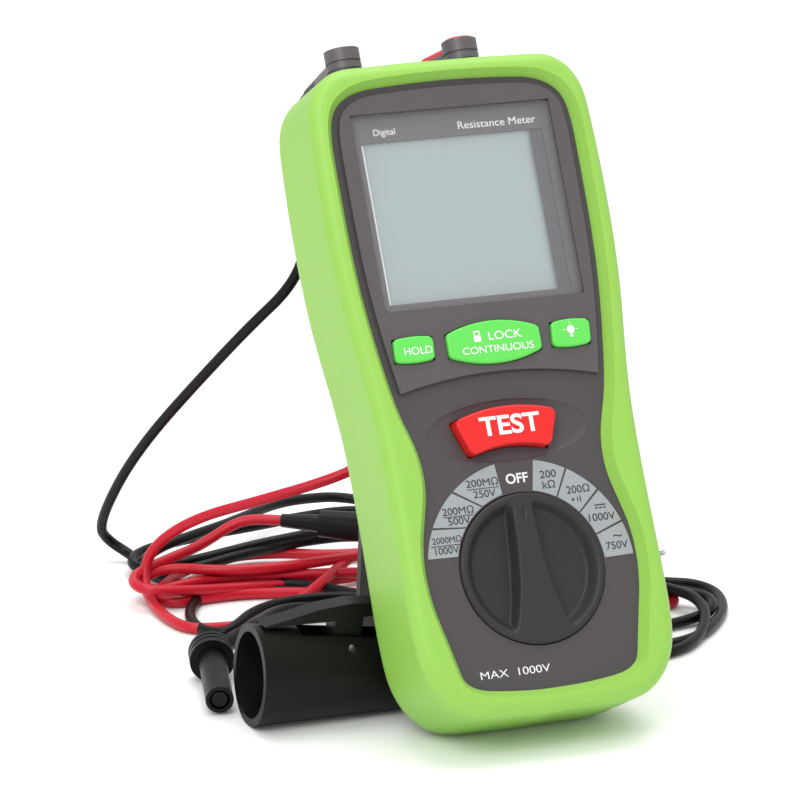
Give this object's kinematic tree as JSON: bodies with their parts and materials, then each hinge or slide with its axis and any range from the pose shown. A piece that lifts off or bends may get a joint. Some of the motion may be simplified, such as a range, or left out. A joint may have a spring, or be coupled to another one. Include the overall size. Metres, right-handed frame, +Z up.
{
  "type": "insulation resistance tester",
  "caption": "Handheld insulation tester in a rubber boot on its tilt stand, with rotary selector, keys, two leads, probe and shrouded crocodile clip.",
  "frame": {"origin": "on the floor, under the middle of the meter, its stand and the clip", "axes": "+Z up, +X to the right of someone facing the display, +Y away from them"},
  "size_m": [0.1961, 0.2919, 0.1945],
  "materials": {
    "boot": "soft satin",
    "case": "fine texture",
    "bezel": "fine texture",
    "window": "clear",
    "lcd": "satin",
    "diffuser": "satin",
    "zebra": "matt",
    "key_green": "satin",
    "key_red": "satin",
    "knob": "satin",
    "shaft": "satin",
    "label": "printed",
    "circuit_board": "solder mask",
    "steel": "plain",
    "brass": "plain",
    "black_plastic": "satin",
    "component": "satin",
    "fuse_glass": "clear",
    "cell": "printed",
    "lead_black": "satin",
    "lead_red": "satin",
    "foot": "matt"
  },
  "bodies": {
    "meter": {"holster": "boot", "front_case": "case", "rear_case": "case", "case_screws": "steel", "display_bezel": "bezel", "display_window": "window", "lcd_glass": "lcd", "backlight": "diffuser", "zebra_strips": "zebra", "keypad_mat": "zebra", "tact_switches": "black_plastic", "detent_ring": "shaft", "range_labels": "label", "main_board": "circuit_board", "hv_transformer": "component", "hv_relay": "component", "storage_capacitor": "component", "piezo_buzzer": "black_plastic", "fuse": "fuse_glass", "fuse_clips": "brass", "terminal_block": "case", "socket_contacts": "brass", "battery_tray": "black_plastic", "battery_cells": "cell", "battery_contacts": "steel", "battery_door": "case", "door_screws": "steel", "stand_pin": "steel", "black_plug": "black_plastic", "black_plug_pin": "brass", "black_strain_relief": "lead_black", "red_plug": "black_plastic", "red_plug_pin": "brass", "red_strain_relief": "lead_black", "black_far_plug": "black_plastic", "black_far_pin": "brass", "probe_handle": "black_plastic", "probe_tip": "steel", "probe_strain_relief": "lead_black", "clip_barrel": "black_plastic", "clip_fixed_jaw": "brass", "clip_pin": "steel", "clip_spring": "steel", "black_lead_drop": "lead_black", "red_lead_drop": "lead_red", "black_lead_tail": "lead_black", "red_lead_tail": "lead_red", "lead_hank": "lead_black"},
    "selector": {"selector_knob": "knob", "knob_shaft": "shaft", "wiper_disc": "shaft", "detent_balls": "steel", "detent_springs": "steel"},
    "hold_key": {"hold_button": "key_green"},
    "lock_key": {"lock_button": "key_green"},
    "light_key": {"light_button": "key_green"},
    "test_key": {"test_button": "key_red"},
    "stand": {"tilt_stand": "case", "stand_foot": "foot"},
    "clip_jaw": {"clip_lever": "black_plastic"}
  },
  "joints": [
    {"name": "selector_turn", "type": "hinge", "parent": "meter", "child": "selector", "pos_m": [0.015, -0.04, 0.05215], "axis": [0, -0.8862, 0.4633], "range_deg": [-80, 70.2]},
    {"name": "hold_press", "type": "slide", "parent": "meter", "child": "hold_key", "axis": [0, 0.8862, -0.4633], "range_m": [0, 0.0008], "stiffness_N_per_m": 500},
    {"name": "lock_press", "type": "slide", "parent": "meter", "child": "lock_key", "axis": [0, 0.8862, -0.4633], "range_m": [0, 0.0008], "stiffness_N_per_m": 500},
    {"name": "light_press", "type": "slide", "parent": "meter", "child": "light_key", "axis": [0, 0.8862, -0.4633], "range_m": [0, 0.0008], "stiffness_N_per_m": 500},
    {"name": "test_press", "type": "slide", "parent": "meter", "child": "test_key", "axis": [0, 0.8862, -0.4633], "range_m": [0, 0.001], "stiffness_N_per_m": 500},
    {"name": "stand_fold", "type": "hinge", "parent": "meter", "child": "stand", "pos_m": [0.015, 0.03548, 0.12271], "axis": [-1, 0, 0], "range_deg": [0, 33.2]},
    {"name": "clip_squeeze", "type": "hinge", "parent": "meter", "child": "clip_jaw", "pos_m": [-0.03086, -0.00148, 0.02335], "axis": [0.0384, 0.9993, 0], "range_deg": [0, 11], "stiffness_Nm_per_rad": 0.06}
  ]
}
